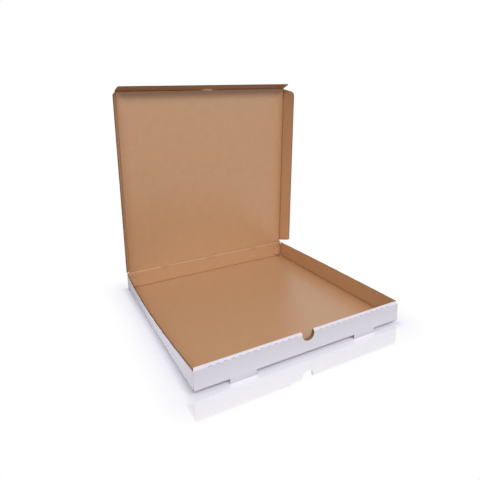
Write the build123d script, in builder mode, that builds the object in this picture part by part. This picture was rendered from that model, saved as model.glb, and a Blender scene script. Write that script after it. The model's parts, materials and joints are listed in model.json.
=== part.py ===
"""Pizza box folded from one sheet of thin corrugated card, white outside and brown inside.

The tray is one folded piece: a base with four walls, a front wall that rolls over on itself and
locks into the base, and corner flaps that the front and back walls hold. The lid hangs on the
crease at the top of the back wall and carries three flaps of its own, which tuck into the tray.

Frame: +Z up, the front wall faces -Y, and the origin is the middle of the tray's underside.
Units are millimetres and degrees.
"""

import os
from math import atan2, cos, radians, sin, tan

from build123d import *

# Board and tray
BOARD = 1.6
INSIDE_WIDTH = 320.0
FOLD_RADIUS = 2.0
CREASE_ROUND = 1.4
PLY_GAP = 0.2
BACK_HEIGHT = 31.2
LEFT_HEIGHT = 28.0
RIGHT_HEIGHT = 30.4
CORNER_HEIGHT = 26.4
LEFT_BOW = 4.5
RIGHT_BOW = 1.0
BOW_PEAK_Y = -55.0

# Front wall: the outer panel ends at a perforated crease, a sloping strip rolls over to the inner panel
FRONT_HEIGHT = 27.8
ROLL_CORNER_HEIGHT = 30.8
ROLL_RADIUS = 1.7
ROLL_SLACK = 0.2
ROLL_END_INSET = 3.0
PERF_PITCH = 10.0
PERF_LENGTH = 6.0
PERF_DEPTH = 0.8
NOTCH_WIDTH = 19.0
NOTCH_BOTTOM = 16.9

# Feet left by the lock slots, and the tabs that lock the inner panel into them
FOOT_SPACING = 194.0
FOOT_WIDTH = 37.0
FOOT_DROP = 5.5
FOOT_CORNER = 1.5
TAB_CLEARANCE = 1.5
TAB_TIP = 0.3

# Corner flaps on the ends of the side walls
FRONT_CORNER_LENGTH = 62.0
REAR_CORNER_LENGTH = 18.5
CORNER_FLAP_LIFT = 3.0
CORNER_FLAP_DROP = 4.0
CORNER_FLAP_ROUND = 6.0

# Lid
LID_WIDTH = 318.0
LID_LENGTH = 317.2
LID_OPENING = 86.0
CREASE_GAP = 0.12
MITRE = 46.0
FLAP_MITRE = 63.0
TONGUE_PLACES = (-93.0, 0.0, 93.0)
TONGUE_WIDTH = 15.0
TONGUE_TIP_WIDTH = 11.0
TONGUE_DROP = 5.5
TONGUE_CLEARANCE = 0.75
THUMB_WIDTH = 22.0
THUMB_REACH = 5.6
THUMB_SIDE_CLEARANCE = 2.0
THUMB_FRONT_CLEARANCE = 0.8

# Lid flaps: fold angles are measured from the lid's plane, 90 being square to it
SIDE_FLAP_DEPTH = 29.2
SIDE_FLAP_REAR_START = 4.6
SIDE_FLAP_REAR_SLANT = 9.0
SIDE_FLAP_REAR_ROUND = 5.0
LEFT_FLAP_FOLD = 72.0
LEFT_FLAP_FRONT_START = 2.2
LEFT_FLAP_FRONT_SLANT = 2.0
LEFT_FLAP_FRONT_ROUND = 3.0
RIGHT_FLAP_FOLD = 79.0
RIGHT_FLAP_FRONT_START = 2.6
RIGHT_FLAP_FRONT_SLANT = 5.0
RIGHT_FLAP_FRONT_ROUND = 8.0
FRONT_FLAP_FOLD = 73.0
FRONT_FLAP_DEPTH = 26.0
FRONT_FLAP_LEFT_SLANT = 0.5
FRONT_FLAP_RIGHT_SLANT = 5.5
FRONT_FLAP_ROUND = 2.0

# Sizes that follow from those above
HALF = INSIDE_WIDTH / 2 + BOARD
INNER_HALF = INSIDE_WIDTH / 2
PLY = BOARD + PLY_GAP
CORNER_FACE = HALF - PLY
ROLL_DEPTH = 3 * BOARD + 2 * PLY_GAP + ROLL_SLACK
ROLL_INNER_Y = -HALF + ROLL_DEPTH
ROLL_SLOPE = atan2(ROLL_CORNER_HEIGHT - FRONT_HEIGHT, ROLL_DEPTH)
FRONT_PANEL_TOP = FRONT_HEIGHT - ROLL_RADIUS * tan((radians(90) - ROLL_SLOPE) / 2)
FOOT_PLACES = (-FOOT_SPACING / 2, FOOT_SPACING / 2)
CORNER_FLAP_TOP = FRONT_HEIGHT - CORNER_FLAP_DROP
LEAN = 90.0 - LID_OPENING
PERF_COUNT = int(2 * (HALF - ROLL_END_INSET) / PERF_PITCH)

# The lid's plane lies on its outer face: X across, Y from the hinge to the front, Z to the inner face
lid_plane = Plane(
    origin=(0, HALF, BACK_HEIGHT),
    x_dir=(1, 0, 0),
    z_dir=(0, -cos(radians(LEAN)), -sin(radians(LEAN))),
)


def lid_point(across, along, inward=0.0):
    """A point given in the lid's plane, in the box's own frame."""
    return lid_plane.from_local_coords(Vector(across, along, inward))


def lid_direction(across, along, inward):
    """A direction given in the lid's plane, in the box's own frame."""
    return lid_point(across, along, inward) - lid_point(0, 0)


def tongue_outline(clearance):
    """Corners of a hinge tongue, or of its opening: a trapezoid below the crease."""
    root = TONGUE_WIDTH / 2 + clearance
    tip = TONGUE_TIP_WIDTH / 2 + clearance
    bottom = -TONGUE_DROP - clearance
    return (-tip, bottom), (tip, bottom), (root, 0), (root, 2 * BOARD), (-root, 2 * BOARD), (-root, 0)


def thumb_outline(plane, crease, side_clearance, front_clearance):
    """The half-round thumb tab in front of the crease, or its opening in the front flap."""
    half = THUMB_WIDTH / 2 + side_clearance
    reach = THUMB_REACH + front_clearance
    with BuildSketch(plane) as thumb:
        with BuildLine():
            ThreePointArc((-half, crease), (0, crease + reach), (half, crease))
            Polyline((half, crease), (half, crease - 2 * BOARD), (-half, crease - 2 * BOARD), (-half, crease))
        make_face()
    return thumb.sketch


def side_flap_plane(side, fold):
    """A side flap's outer face: X from the crease to the free edge, Y along the crease."""
    angle = radians(fold)
    depth = lid_direction(side * cos(angle), 0, sin(angle))
    normal = lid_direction(-sin(angle), 0, side * cos(angle))
    return Plane(origin=lid_point(side * LID_WIDTH / 2, 0), x_dir=depth, z_dir=normal)


def mitre_plane(plane, depth, inward):
    """The bevel at a flap's crease, through the crease and leaning over the flap's inner face."""
    lean = radians(FLAP_MITRE)
    start = plane.from_local_coords(depth * CREASE_GAP)
    kept = depth * cos(lean) - Vector(0, 0, inward) * sin(lean)
    return Plane(origin=start, z_dir=plane.from_local_coords(kept) - plane.origin)


def bowed_strip(plane, side, bow):
    """A side wall's section in plan: a strip one board thick whose middle bows outwards."""
    end_y = CORNER_FACE - FOLD_RADIUS
    with BuildSketch(plane) as strip:
        with BuildLine():
            outer = Spline((side * HALF, -end_y), (side * (HALF + bow), BOW_PEAK_Y), (side * HALF, end_y))
            inner = Spline(
                (side * INNER_HALF, -end_y),
                (side * (INNER_HALF + bow), BOW_PEAK_Y),
                (side * INNER_HALF, end_y),
            )
            Line(outer @ 0, inner @ 0)
            Line(outer @ 1, inner @ 1)
        make_face()
    return strip.sketch


def corner_fold(side, end, length):
    """A corner in plan: the end of a side wall, folded square into its corner flap."""
    with BuildSketch(Plane.XY) as fold:
        with BuildLine():
            FilletPolyline(
                (side * (HALF - length), end * CORNER_FACE),
                (side * HALF, end * CORNER_FACE),
                (side * HALF, end * (CORNER_FACE - FOLD_RADIUS - BOARD)),
                radius=FOLD_RADIUS,
            )
            offset(amount=BOARD, side=Side.RIGHT if side * end > 0 else Side.LEFT)
        make_face()
    return fold.sketch


def corner_outline(side, end, length):
    """A corner flap from the front: tapered towards a rounded end, clear of the base."""
    root = side * (INNER_HALF - FOLD_RADIUS)
    tip = side * (HALF - length)
    with BuildSketch(Plane.XZ.offset(-end * CORNER_FACE)) as outline:
        with BuildLine():
            FilletPolyline(
                (root, CORNER_FLAP_LIFT),
                (tip, CORNER_FLAP_LIFT + CORNER_FLAP_DROP),
                (tip, CORNER_FLAP_TOP - CORNER_FLAP_DROP),
                (root, CORNER_FLAP_TOP),
                radius=CORNER_FLAP_ROUND / 2,
            )
            Line((root, CORNER_FLAP_TOP), (root, CORNER_FLAP_LIFT))
        make_face()
    return outline.sketch


# The front flap's outer face: X across, Y from the crease to the free edge, Z to the inner face
front_angle = radians(FRONT_FLAP_FOLD)
front_flap_plane = Plane(
    origin=lid_point(0, LID_LENGTH),
    x_dir=(1, 0, 0),
    z_dir=lid_direction(0, -sin(front_angle), cos(front_angle)),
)

# Corner flaps: each is the end of a side wall folded square, one ply inside the front or back wall
CORNERS = [
    (side, end, length)
    for side in (-1, 1)
    for end, length in ((-1, FRONT_CORNER_LENGTH), (1, REAR_CORNER_LENGTH))
]
with BuildPart() as corner_envelope:
    for side, end, length in CORNERS:
        extrude(corner_outline(side, end, length), amount=2 * PLY, both=True)
    with Locations((-HALF, 0, CORNER_HEIGHT / 2), (HALF, 0, CORNER_HEIGHT / 2)):
        Box(2 * (BOARD + FOLD_RADIUS), 2 * HALF, CORNER_HEIGHT)

with BuildPart() as corner_flaps:
    for side, end, length in CORNERS:
        extrude(corner_fold(side, end, length), amount=CORNER_HEIGHT)
    add(corner_envelope.part, mode=Mode.INTERSECT)

with BuildPart() as tray:
    # The roll-over: a strip that slopes up from the perforated crease, and the panel hanging from it
    with BuildSketch(Plane.YZ):
        with BuildLine():
            FilletPolyline(
                (-HALF, FRONT_PANEL_TOP - BOARD),
                (-HALF, FRONT_HEIGHT),
                (ROLL_INNER_Y, ROLL_CORNER_HEIGHT),
                (ROLL_INNER_Y, BOARD + PLY_GAP),
                radius=ROLL_RADIUS,
            )
            offset(amount=BOARD, side=Side.RIGHT)
        make_face()
    extrude(amount=HALF, both=True)
    with BuildSketch(Plane.XY):
        with BuildLine():
            Polyline(
                (HALF, -HALF),
                (HALF - ROLL_END_INSET, ROLL_INNER_Y),
                (HALF - ROLL_END_INSET, -HALF / 2),
                (2 * HALF, -HALF / 2),
                (2 * HALF, -HALF),
                close=True,
            )
        make_face()
        mirror(about=Plane.YZ)
    extrude(amount=2 * ROLL_CORNER_HEIGHT, mode=Mode.SUBTRACT)

    # Base, back wall and outer front wall: one strip folded up at both ends, the hinge edge mitred
    with BuildSketch(Plane.YZ):
        with BuildLine():
            FilletPolyline(
                (HALF, BACK_HEIGHT - CREASE_GAP),
                (HALF, 0),
                (-HALF, 0),
                (-HALF, FRONT_PANEL_TOP),
                radius=FOLD_RADIUS,
            )
            offset(amount=BOARD, side=Side.RIGHT)
        make_face()
    extrude(amount=HALF, both=True)
    with BuildSketch(Plane.YZ):
        with BuildLine():
            Polyline(
                (HALF, BACK_HEIGHT - CREASE_GAP),
                (INNER_HALF, BACK_HEIGHT - CREASE_GAP - BOARD),
                (INNER_HALF, BACK_HEIGHT),
                close=True,
            )
        make_face()
    extrude(amount=HALF, both=True, mode=Mode.SUBTRACT)

    # Side walls rise straight from their creases and bow outwards at the top
    for side, height, bow in ((-1, LEFT_HEIGHT, LEFT_BOW), (1, RIGHT_HEIGHT, RIGHT_BOW)):
        loft([bowed_strip(Plane.XY, side, 0), bowed_strip(Plane.XY.offset(height), side, bow)], ruled=True)
    add(corner_flaps.part)

    # The creases along the base's sides are rounded as the front and back ones are
    with BuildSketch(Plane.XZ):
        for side in (-1, 1):
            with Locations((side * HALF, 0)):
                Rectangle(2 * CREASE_ROUND, 2 * CREASE_ROUND)
            with Locations((side * (HALF - CREASE_ROUND), CREASE_ROUND)):
                Circle(CREASE_ROUND, mode=Mode.SUBTRACT)
    extrude(amount=CORNER_FACE, both=True, mode=Mode.SUBTRACT)

    # Lock slots in the base, whose cut pieces stay in the front wall's plane as feet
    with BuildSketch(Plane.XY):
        with Locations(*[(x, -HALF) for x in FOOT_PLACES]):
            Rectangle(FOOT_WIDTH, BOARD + FOOT_DROP, align=(Align.CENTER, Align.MIN))
    extrude(amount=FOLD_RADIUS, mode=Mode.SUBTRACT)
    with BuildSketch(Plane.XZ.offset(HALF)) as feet:
        with Locations(*[(x, -FOOT_DROP) for x in FOOT_PLACES]):
            Rectangle(FOOT_WIDTH, FOOT_DROP + FOLD_RADIUS, align=(Align.CENTER, Align.MIN))
        fillet(feet.vertices().group_by(Axis.Z)[0], radius=FOOT_CORNER)
    extrude(amount=-BOARD)

    # Tabs on the inner panel's lower edge drop into the slots and lock the roll-over
    with BuildSketch(Plane.XZ.offset(-ROLL_INNER_Y)):
        with Locations(*[(x, TAB_TIP) for x in FOOT_PLACES]):
            Rectangle(FOOT_WIDTH - 2 * TAB_CLEARANCE, FOLD_RADIUS, align=(Align.CENTER, Align.MIN))
    extrude(amount=BOARD)

    # Thumb notch through both panels of the front wall
    with BuildSketch(Plane.XZ.offset(HALF)):
        with Locations((0, NOTCH_BOTTOM)):
            SlotOverall(2 * ROLL_CORNER_HEIGHT, NOTCH_WIDTH, rotation=90, align=(Align.MIN, Align.CENTER))
    extrude(amount=-ROLL_DEPTH, mode=Mode.SUBTRACT)

    # Perforations along the front wall's crease
    with Locations((0, -HALF, FRONT_HEIGHT)):
        with GridLocations(PERF_PITCH, 0, PERF_COUNT, 1):
            Box(PERF_LENGTH, 2 * PERF_DEPTH, 2 * PERF_DEPTH, mode=Mode.SUBTRACT)

    # Openings at the hinge for the lid's three tongues
    with BuildSketch(Plane.XZ.offset(-HALF)):
        with Locations(*[(x, BACK_HEIGHT) for x in TONGUE_PLACES]):
            Polygon(*tongue_outline(TONGUE_CLEARANCE), align=None)
    extrude(amount=BOARD, mode=Mode.SUBTRACT)

with BuildPart() as lid:
    # The panel's four edges are creases, so all of them are mitred towards the inner face
    with BuildSketch(lid_plane):
        with Locations((0, LID_LENGTH / 2)):
            Rectangle(LID_WIDTH - 2 * CREASE_GAP, LID_LENGTH - 2 * CREASE_GAP)
    extrude(amount=BOARD, taper=MITRE)

    # Tongues that stay in the lid's plane below the hinge crease
    with BuildSketch(lid_plane):
        with Locations(*[(x, 0) for x in TONGUE_PLACES]):
            Polygon(*tongue_outline(0), align=None)
    extrude(amount=BOARD)

    # Half-round thumb tab that stays in the lid's plane in front of the front crease
    extrude(thumb_outline(lid_plane, LID_LENGTH, 0, 0), amount=BOARD)

with BuildPart() as lid_front_flap:
    with BuildSketch(front_flap_plane) as outline:
        half_root = LID_WIDTH / 2 - CREASE_GAP
        Polygon(
            (-half_root, CREASE_GAP),
            (half_root, CREASE_GAP),
            (LID_WIDTH / 2 - FRONT_FLAP_RIGHT_SLANT, FRONT_FLAP_DEPTH),
            (-LID_WIDTH / 2 + FRONT_FLAP_LEFT_SLANT, FRONT_FLAP_DEPTH),
            align=None,
        )
        fillet(outline.vertices().group_by(Axis.Y)[-1], radius=FRONT_FLAP_ROUND)
    extrude(amount=BOARD)
    thumb_opening = thumb_outline(front_flap_plane, 0, THUMB_SIDE_CLEARANCE, THUMB_FRONT_CLEARANCE)
    extrude(thumb_opening, amount=BOARD, mode=Mode.SUBTRACT)
    split(bisect_by=mitre_plane(front_flap_plane, Vector(0, 1), 1), keep=Keep.TOP)


def side_flap(side, fold, front_start, front_slant, front_round):
    """A lid side flap: slanted at both ends, rounded at its free corners, mitred at the crease."""
    plane = side_flap_plane(side, fold)
    rear = SIDE_FLAP_REAR_START
    front = LID_LENGTH - front_start
    with BuildPart() as flap:
        with BuildSketch(plane) as outline:
            Polygon(
                (CREASE_GAP, rear),
                (SIDE_FLAP_DEPTH, rear + SIDE_FLAP_REAR_SLANT),
                (SIDE_FLAP_DEPTH, front - front_slant),
                (CREASE_GAP, front),
                align=None,
            )
            fillet(outline.vertices().group_by(Axis.X)[-1].sort_by(Axis.Y)[0], radius=SIDE_FLAP_REAR_ROUND)
            fillet(outline.vertices().group_by(Axis.X)[-1].sort_by(Axis.Y)[-1], radius=front_round)
        extrude(amount=side * BOARD)
        split(bisect_by=mitre_plane(plane, Vector(1, 0), side), keep=Keep.TOP)
    return flap.part


lid_left_flap = side_flap(
    -1, LEFT_FLAP_FOLD, LEFT_FLAP_FRONT_START, LEFT_FLAP_FRONT_SLANT, LEFT_FLAP_FRONT_ROUND
)
lid_right_flap = side_flap(
    1, RIGHT_FLAP_FOLD, RIGHT_FLAP_FRONT_START, RIGHT_FLAP_FRONT_SLANT, RIGHT_FLAP_FRONT_ROUND
)

os.makedirs("parts", exist_ok=True)
pieces = {
    "tray": tray.part,
    "lid": lid.part,
    "lid_front_flap": lid_front_flap.part,
    "lid_left_flap": lid_left_flap,
    "lid_right_flap": lid_right_flap,
}
for name, piece in pieces.items():
    piece.label = name
    export_step(piece, f"parts/{name}.step")
    print(name, round(piece.volume / 1000, 2), "cm3", piece.bounding_box())
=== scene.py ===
# %% [markdown]
# # A pizza box of corrugated card
# The box is one die-cut blank of thin corrugated card: a white paper outside, a brown paper inside,
# and between them a wavy paper, the fluting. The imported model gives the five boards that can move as
# plain solids. This lesson gives each board its three papers and joins the boards with crushed creases.

# %% The frame
import json
from math import atan2, cos, degrees, exp, pi, radians, sin, tan

import bmesh
import bpy
from mathutils import Matrix, Vector


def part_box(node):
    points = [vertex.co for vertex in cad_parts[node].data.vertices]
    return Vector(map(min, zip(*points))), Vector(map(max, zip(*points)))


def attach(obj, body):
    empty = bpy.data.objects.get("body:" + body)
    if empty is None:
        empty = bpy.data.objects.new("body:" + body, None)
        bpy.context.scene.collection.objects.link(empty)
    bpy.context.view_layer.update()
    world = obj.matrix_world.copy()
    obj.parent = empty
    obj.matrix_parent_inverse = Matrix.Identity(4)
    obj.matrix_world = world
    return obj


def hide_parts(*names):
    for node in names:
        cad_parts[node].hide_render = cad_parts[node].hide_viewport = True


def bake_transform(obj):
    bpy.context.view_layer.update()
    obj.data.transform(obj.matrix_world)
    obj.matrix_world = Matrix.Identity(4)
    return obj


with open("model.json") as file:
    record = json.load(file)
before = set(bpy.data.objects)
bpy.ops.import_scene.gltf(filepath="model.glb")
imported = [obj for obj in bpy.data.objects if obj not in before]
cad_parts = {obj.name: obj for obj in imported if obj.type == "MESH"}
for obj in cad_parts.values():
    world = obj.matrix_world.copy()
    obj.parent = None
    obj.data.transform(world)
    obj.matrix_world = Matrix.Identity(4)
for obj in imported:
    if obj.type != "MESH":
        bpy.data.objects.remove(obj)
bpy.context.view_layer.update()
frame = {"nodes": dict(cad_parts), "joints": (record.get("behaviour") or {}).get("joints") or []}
joints = {joint["name"]: joint for joint in frame["joints"]}
print("boards", sorted(frame["nodes"]))

# %% [markdown]
# ## Camera
# The box was photographed from in front of its left corner, a little below the lid's top edge and
# looking slightly down. A camera can be placed by eye, but this one was fitted to the box's corners, so
# that every piece falls on the spot where the picture has it. A small lens shift keeps the lid's sides
# as parallel as they look there.

# %% Camera
CAMERA_PLACE = Vector((-0.3047, -0.5785, 0.3303))
CAMERA_TURN = radians(-27.65)
CAMERA_TILT = radians(12.65)
CAMERA_ROLL = radians(-1.67)
SENSOR_WIDTH = 36.0
FOCAL_SHARE = 0.8977
LENS_SHIFT = (-0.0129, -0.0942)

camera_data = bpy.data.cameras.new("camera")
camera_data.sensor_width = SENSOR_WIDTH
camera_data.lens = SENSOR_WIDTH * FOCAL_SHARE
camera_data.shift_x, camera_data.shift_y = LENS_SHIFT
camera = bpy.data.objects.new("camera", camera_data)
bpy.context.scene.collection.objects.link(camera)
camera.matrix_world = (
    Matrix.Translation(CAMERA_PLACE)
    @ Matrix.Rotation(CAMERA_TURN, 4, "Z")
    @ Matrix.Rotation(radians(90) - CAMERA_TILT, 4, "X")
    @ Matrix.Rotation(CAMERA_ROLL, 4, "Z")
)
bpy.context.scene.camera = camera
bpy.context.scene.view_settings.view_transform = "Standard"
print("lens", round(camera_data.lens, 2), "mm")

# %% [markdown]
# ## Light
# The studio is plain white. Its walls could be built and lit, but a world that the camera sees as white
# does the same and lets the light on the box be set by itself. For the rays that light the box, this
# surround is dimmer and slightly warm.

# %% Node helpers
SEEN_RAYS = ("Is Camera Ray", "Is Glossy Ray", "Is Transmission Ray")


def add_node(tree, kind, inputs, **settings):
    """A node with its settings. An input, by name or number, gets a value or another node's output."""
    node = tree.nodes.new(kind)
    for name, value in settings.items():
        setattr(node, name, value)
    for key, value in inputs.items():
        if isinstance(value, bpy.types.NodeSocket):
            tree.links.new(value, node.inputs[key])
        else:
            node.inputs[key].default_value = value
    return node


def maths(tree, operation, *values):
    """One maths node, as its output."""
    return add_node(tree, "ShaderNodeMath", dict(enumerate(values)), operation=operation).outputs[0]


def seen_rays(tree):
    """1 for rays from the camera, mirrored and refracted ones too, and 0 for rays that light the box."""
    rays = add_node(tree, "ShaderNodeLightPath", {}).outputs
    seen = 0.0
    for ray in SEEN_RAYS:
        seen = maths(tree, "MAXIMUM", seen, rays[ray])
    return seen


print("the white studio is for", SEEN_RAYS)

# %% Surround
PURE_WHITE = (1.0, 1.0, 1.0, 1.0)
SURROUND_COLOUR = (1.0, 0.97, 0.95, 1.0)
SURROUND_LEVEL = 0.34

world = bpy.data.worlds.new("studio")
bpy.context.scene.world = world
world.use_nodes = True
studio = world.node_tree
studio.nodes.clear()
surround = add_node(
    studio, "ShaderNodeBackground", {"Color": SURROUND_COLOUR, "Strength": SURROUND_LEVEL}
)
backdrop = add_node(studio, "ShaderNodeBackground", {"Color": PURE_WHITE, "Strength": 1.0})
walls = add_node(
    studio,
    "ShaderNodeMixShader",
    {0: seen_rays(studio), 1: surround.outputs[0], 2: backdrop.outputs[0]},
)
add_node(studio, "ShaderNodeOutputWorld", {"Surface": walls.outputs[0]})
print("surround level", SURROUND_LEVEL)

# %% [markdown]
# Two soft lamps stand in front and fairly high, one on the right and a wider one on the left. Together
# they draw the shadow band under the lid's front flap, where a single lamp would leave one side of the
# lid too dark. A low card on the left lights the left wall, and a lamp behind lights the back of the
# lid, which the camera doesn't see.

# %% Lamps
ALL_ROUND = radians(180)
NARROW = radians(40)
BOX_MIDDLE = Vector((0, 0.05, 0.12))
LID_BACK = Vector((0, 0.16, 0.18))
LEFT_WALL = Vector((-0.16, -0.05, 0.012))


def soft_lamp(name, place, target, size, power, spread=ALL_ROUND):
    """A rectangular lamp aimed at a point of the box."""
    data = bpy.data.lights.new(name, "AREA")
    data.shape = "RECTANGLE"
    data.size, data.size_y = size
    data.energy = power
    data.spread = spread
    lamp = bpy.data.objects.new(name, data)
    bpy.context.scene.collection.objects.link(lamp)
    away = Vector(place) - target
    turn = away.to_track_quat("Z", "Y").to_matrix().to_4x4()
    lamp.matrix_world = Matrix.Translation(place) @ turn
    print(name, round(away.length, 2), "m away,", power, "W")


soft_lamp("right_key", place=(0.66, -1.71, 1.68), target=BOX_MIDDLE, size=(0.7, 0.7), power=17.0)
soft_lamp("left_key", place=(-1.0, -1.75, 1.68), target=BOX_MIDDLE, size=(1.2, 0.9), power=25.0)
soft_lamp("back_fill", place=(0.2, 1.6, 0.5), target=LID_BACK, size=(0.6, 0.4), power=6.0)
soft_lamp(
    "left_card", place=(-0.8, -0.1, 0.0), target=LEFT_WALL, size=(0.2, 0.02), power=0.13, spread=NARROW
)

# %% [markdown]
# ## Sizes of the card
# The board is two liners with the fluting between them. Blender works in metres, but all modelling here
# is in millimetres, as a box maker would give the sizes, and each finished mesh is scaled at the end.

# %% Sizes of the card
MM = 0.001
BOARD = 1.6
LINER = 0.24
FLUTE_PAPER = 0.18
FLUTE_PITCH = 3.3
FLUTE_SAMPLES = 6
FLUTE_PLAY = 0.01
FLUTE_DEPTH = (BOARD - FLUTE_PAPER) / 2
FLUTE_SWING = (BOARD - 2 * LINER - FLUTE_PAPER) / 2 - FLUTE_PLAY
INNER_RIPPLE = 0.035
OUTER_RIPPLE = 0.012

tray_low, tray_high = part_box("tray")
HALF = tray_high.y / MM
hinge_place = Vector(joints["lid_hinge"]["pos_m"]) / MM
BACK_HEIGHT = hinge_place.z
FEET_BOTTOM = tray_low.z / MM
print("tray half depth", round(HALF, 2), "hinge height", round(BACK_HEIGHT, 2))
print("feet", round(FEET_BOTTOM, 2), "fluting swings by", round(FLUTE_SWING, 2))

# %% [markdown]
# ## Papers
# There are four finishes: the two liners, the fluting, and a dark paper on every cut edge, whose darkness
# is painted shade of the board's edge. A pattern could lie in the object's own space, but then the grain
# would run straight through a fold. So each paper reads the sheet's UV map, called blank, which holds the
# place of every point on the flat blank in metres, U across the flutes and V along them.

# %% Patterns on the blank


def blank_place(tree):
    """The sheet's place on the flat blank."""
    return add_node(tree, "ShaderNodeUVMap", {}, uv_map="blank").outputs["UV"]


def noise(tree, place, stretch, detail):
    """Noise on the blank: so many patches to the metre across (U) and along (V) the flutes."""
    spread = add_node(tree, "ShaderNodeMapping", {"Vector": place, "Scale": (*stretch, 1.0)})
    inputs = {"Vector": spread.outputs[0], "Scale": 1.0, "Detail": detail}
    return add_node(tree, "ShaderNodeTexNoise", inputs).outputs["Fac"]


def flute_wave(tree, place):
    """A wave of the flute pitch across the sheet, from -1 to 1."""
    across = add_node(tree, "ShaderNodeSeparateXYZ", {"Vector": place}).outputs["X"]
    return maths(tree, "SINE", maths(tree, "MULTIPLY", across, 2 * pi / (FLUTE_PITCH * MM)))


def shade_mix(tree, amount, dark, light):
    """A colour between two, by an amount from 0 to 1."""
    mix = add_node(tree, "ShaderNodeMix", {0: amount}, data_type="RGBA")
    colours = [socket for socket in mix.inputs if socket.type == "RGBA"]
    for socket, colour in zip(colours, (dark, light)):
        socket.default_value = colour
    return [socket for socket in mix.outputs if socket.type == "RGBA"][0]


print("flute marks every", FLUTE_PITCH, "mm")

# %% [markdown]
# Paper is pressed fibre. Cloudy patches show where the fibres lie thicker, fine streaks follow the run
# of the paper machine, across the flutes, and faint stripes at the flute pitch are painted shade of the
# flutes printing through, which the liners also have as a real wave. One function makes all four
# papers, so that they differ only by colour, gloss and the strength of these marks.

# %% How paper looks
CLOUDS = ((70.0, 70.0), 5.0)
FIBRES = ((260.0, 900.0), 4.0)
SPECKS = ((1500.0, 1500.0), 2.0)
CLOUD_SHARE = 0.5
SPECK_SHARE = 0.5
ROUGHNESS_SWING = 0.06
RELIEF = 0.00008


def new_material(name):
    """A new material, its node tree and its principled shader."""
    material = bpy.data.materials.new(name)
    material.use_nodes = True
    return material, material.node_tree, material.node_tree.nodes["Principled BSDF"]


def paper(name, dark, light, flute_shade_stripe, grain, roughness, gloss, bump):
    """Paper between two tones, with clouds, fibres and painted shade stripes at the flute pitch."""
    material, tree, shader = new_material(name)
    place = blank_place(tree)
    clouds, fibres, specks = [noise(tree, place, *kind) for kind in (CLOUDS, FIBRES, SPECKS)]
    # Stripes at the flute pitch: painted shade of the flutes printing through.
    marks = maths(tree, "MULTIPLY", flute_wave(tree, place), flute_shade_stripe)
    cloudy = maths(tree, "MULTIPLY", clouds, CLOUD_SHARE)
    fibrous = maths(tree, "MULTIPLY_ADD", fibres, grain, (1 - CLOUD_SHARE - grain) / 2)
    tone = maths(tree, "ADD", maths(tree, "ADD", cloudy, fibrous), marks)
    tree.links.new(shade_mix(tree, tone, dark, light), shader.inputs["Base Color"])
    limits = {"To Min": roughness - ROUGHNESS_SWING, "To Max": roughness + ROUGHNESS_SWING}
    rough = add_node(tree, "ShaderNodeMapRange", {"Value": clouds, **limits})
    tree.links.new(rough.outputs[0], shader.inputs["Roughness"])
    shader.inputs["Specular IOR Level"].default_value = gloss
    height = maths(tree, "ADD", fibres, maths(tree, "MULTIPLY", specks, SPECK_SHARE))
    relief = add_node(tree, "ShaderNodeBump", {"Height": height, "Strength": bump, "Distance": RELIEF})
    tree.links.new(relief.outputs[0], shader.inputs["Normal"])
    return material


print("fibres to the metre, across and along the flutes:", FIBRES[0])

# %% The four papers
KRAFT_DARK = (0.505, 0.278, 0.132, 1.0)
KRAFT_LIGHT = (0.625, 0.362, 0.200, 1.0)
WHITE_DARK = (0.79, 0.76, 0.855, 1.0)
WHITE_LIGHT = (0.86, 0.83, 0.925, 1.0)
# The fluting's colours are part its own brown and part painted shade, darker than plain fluting paper.
FLUTE_DARK_AND_SHADE = (0.27, 0.165, 0.10, 1.0)
FLUTE_LIGHT_AND_SHADE = (0.40, 0.255, 0.16, 1.0)
# The cut-edge colours are painted shade: far darker than the liners, for the dark lines along the board's
# edges.
CUT_SHADE_DARK = (0.14, 0.085, 0.05, 1.0)
CUT_SHADE_LIGHT = (0.26, 0.165, 0.10, 1.0)

kraft = paper(
    "kraft_liner_paper", KRAFT_DARK, KRAFT_LIGHT,
    flute_shade_stripe=0.07, grain=0.5, roughness=0.36, gloss=1.0, bump=0.35,
)
white = paper(
    "white_liner_paper", WHITE_DARK, WHITE_LIGHT,
    flute_shade_stripe=0.04, grain=0.3, roughness=0.5, gloss=0.5, bump=0.2,
)
flute_paper_and_shade = paper(
    "fluting_paper_and_shade", FLUTE_DARK_AND_SHADE, FLUTE_LIGHT_AND_SHADE,
    flute_shade_stripe=0.0, grain=0.6, roughness=0.7, gloss=0.2, bump=0.4,
)
cut_edge_shade_paper = paper(
    "cut_edge_painted_shade", CUT_SHADE_DARK, CUT_SHADE_LIGHT,
    flute_shade_stripe=0.0, grain=0.8, roughness=0.8, gloss=0.1, bump=0.5,
)
print("papers", [material.name for material in (kraft, white, flute_paper_and_shade, cut_edge_shade_paper)])

# %% [markdown]
# ## Sheets and dies
# A sheet starts as a flat grid that is given its thickness and pressed into waves of the flute pitch.
# Both liners get a very shallow wave, because the flutes always print through a little. A die is a
# flat shape made into a prism, and a press cuts the sheet with it: that is Blender's boolean. The
# outline could also be drawn face by face, but then every cut-out would need its own faces.

# %% Sheets


def sheet(low, high, depth, thickness, swing):
    """A rectangle of paper from low to high, its outer face at a depth, waved across the flutes."""
    width, length = high[0] - low[0], high[1] - low[1]
    middle = Vector(((low[0] + high[0]) / 2, (low[1] + high[1]) / 2, 0))
    columns = round(width / FLUTE_PITCH * FLUTE_SAMPLES)
    bm = bmesh.new()
    spread = Matrix.Translation(middle) @ Matrix.Diagonal((width, length, 1, 1))
    bmesh.ops.create_grid(bm, x_segments=columns, y_segments=1, size=0.5, matrix=spread)
    bmesh.ops.solidify(bm, geom=bm.faces[:], thickness=-thickness)
    for vert in bm.verts:
        vert.co.z += depth + swing * sin(2 * pi * vert.co.x / FLUTE_PITCH)
    bmesh.ops.recalc_face_normals(bm, faces=bm.faces[:])
    return bm


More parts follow.
